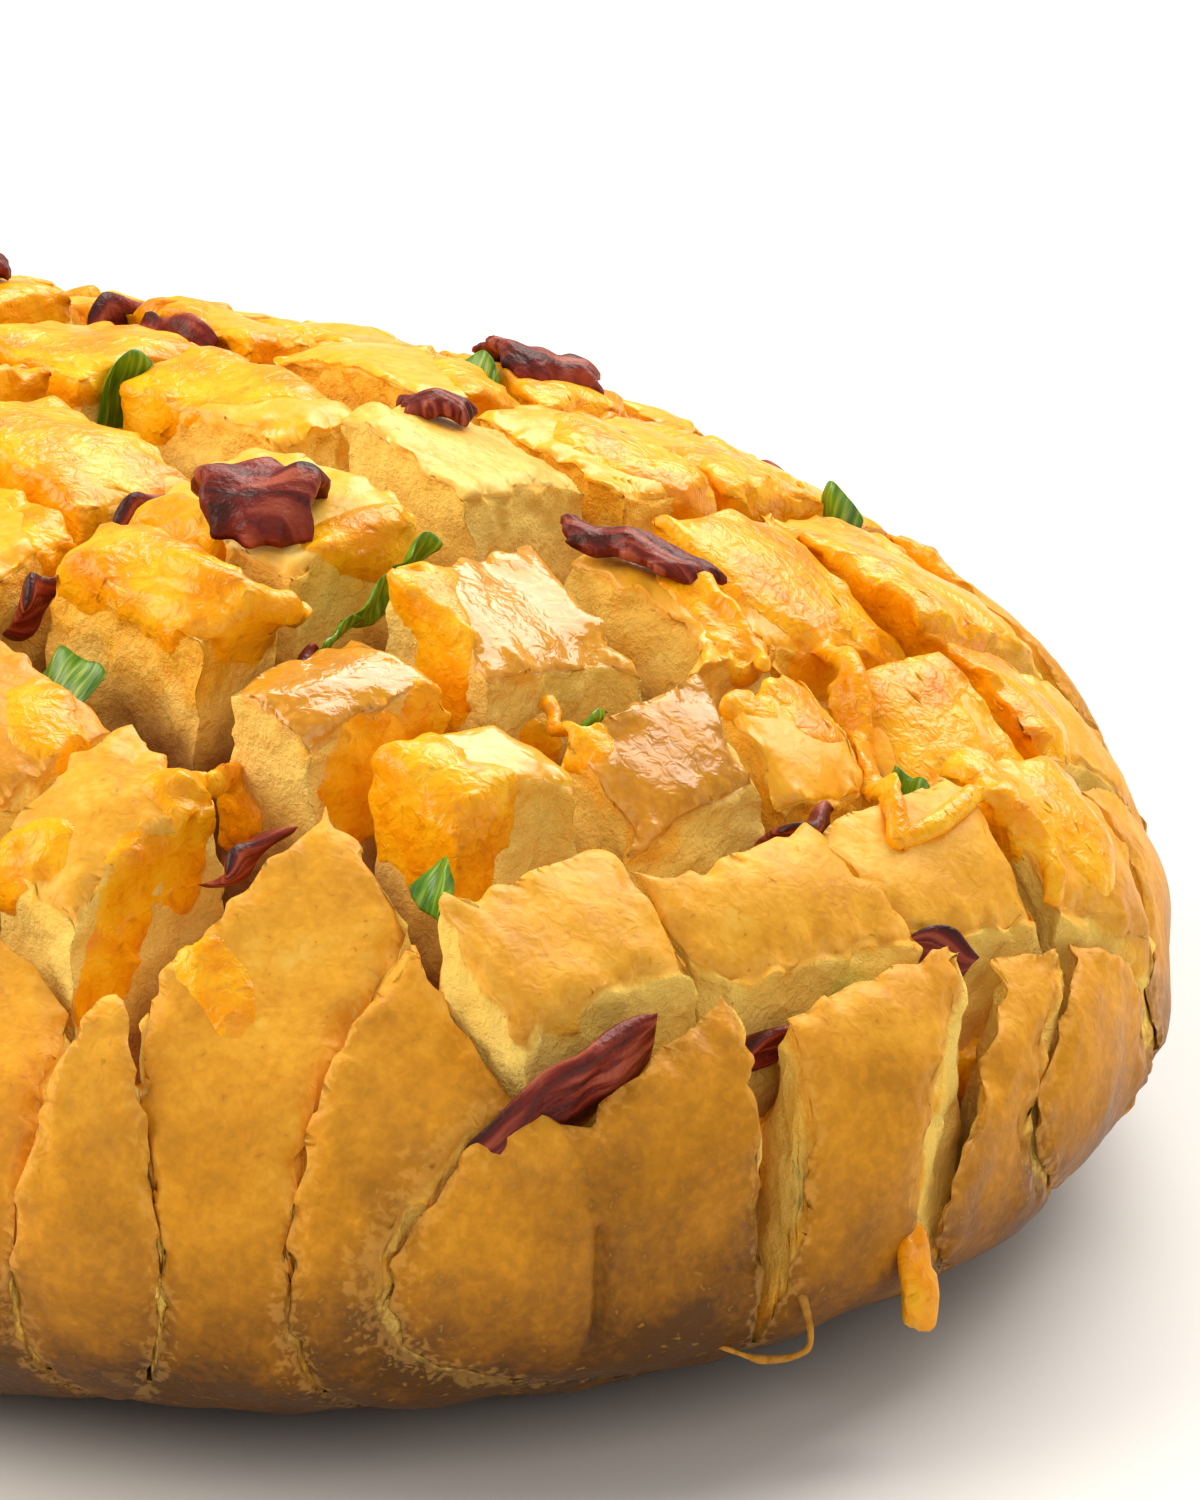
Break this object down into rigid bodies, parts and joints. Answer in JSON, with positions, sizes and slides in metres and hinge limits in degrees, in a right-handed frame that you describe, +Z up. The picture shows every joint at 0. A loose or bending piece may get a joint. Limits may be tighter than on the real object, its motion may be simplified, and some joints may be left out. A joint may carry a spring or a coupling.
{
  "type": "pull-apart bread with bacon, cheese and green onion",
  "caption": "Oval baked pull-apart loaf scored in a grid, its cuts filled with melted cheddar, bacon and green onion.",
  "frame": {"origin": "centre of the loaf's outline, on the flat of its base", "axes": "+Y along the loaf's length away from the pictured end, +X across its width, +Z up"},
  "size_m": [0.2136, 0.2783, 0.0871],
  "materials": {
    "crust": "golden baked crust, satin, over a cream crumb where cut",
    "cheddar": "melted orange cheddar, glossy",
    "bacon": "fried dark red bacon with pale fat, glossy",
    "green_onion": "fresh green onion, satin"
  },
  "bodies": {
    "root": {"bacon_piece_01": "bacon", "bacon_piece_02": "bacon", "bacon_piece_03": "bacon", "bacon_piece_04": "bacon", "bacon_piece_05": "bacon", "bacon_piece_06": "bacon", "bacon_strip_01": "bacon", "bacon_strip_02": "bacon", "bacon_strip_03": "bacon", "bacon_strip_04": "bacon", "bacon_strip_05": "bacon", "bacon_strip_06": "bacon", "bacon_strip_07": "bacon", "bacon_strip_08": "bacon", "bacon_strip_09": "bacon", "bacon_strip_10": "bacon", "bacon_strip_11": "bacon", "bacon_strip_12": "bacon", "bacon_strip_13": "bacon", "cheese_fill": "cheddar", "cheese_sheet_01": "cheddar", "cheese_sheet_02": "cheddar", "cheese_sheet_03": "cheddar", "cheese_sheet_04": "cheddar", "cheese_sheet_05": "cheddar", "cheese_sheet_06": "cheddar", "cheese_sheet_07": "cheddar", "cheese_sheet_08": "cheddar", "cheese_sheet_09": "cheddar", "cheese_sheet_10": "cheddar", "cheese_sheet_11": "cheddar", "cheese_sheet_12": "cheddar", "cheese_sheet_13": "cheddar", "cheese_sheet_14": "cheddar", "cheese_sheet_15": "cheddar", "cheese_sheet_16": "cheddar", "cheese_shred": "cheddar", "loaf": "crust", "onion_slice_01": "green_onion", "onion_slice_02": "green_onion", "onion_slice_03": "green_onion", "onion_slice_04": "green_onion", "onion_slice_05": "green_onion", "onion_slice_06": "green_onion", "onion_slice_07": "green_onion", "onion_slice_08": "green_onion", "onion_slice_09": "green_onion", "onion_slice_10": "green_onion", "onion_slice_11": "green_onion", "onion_slice_12": "green_onion", "onion_slice_13": "green_onion", "onion_slice_14": "green_onion"}
  },
  "joints": []
}
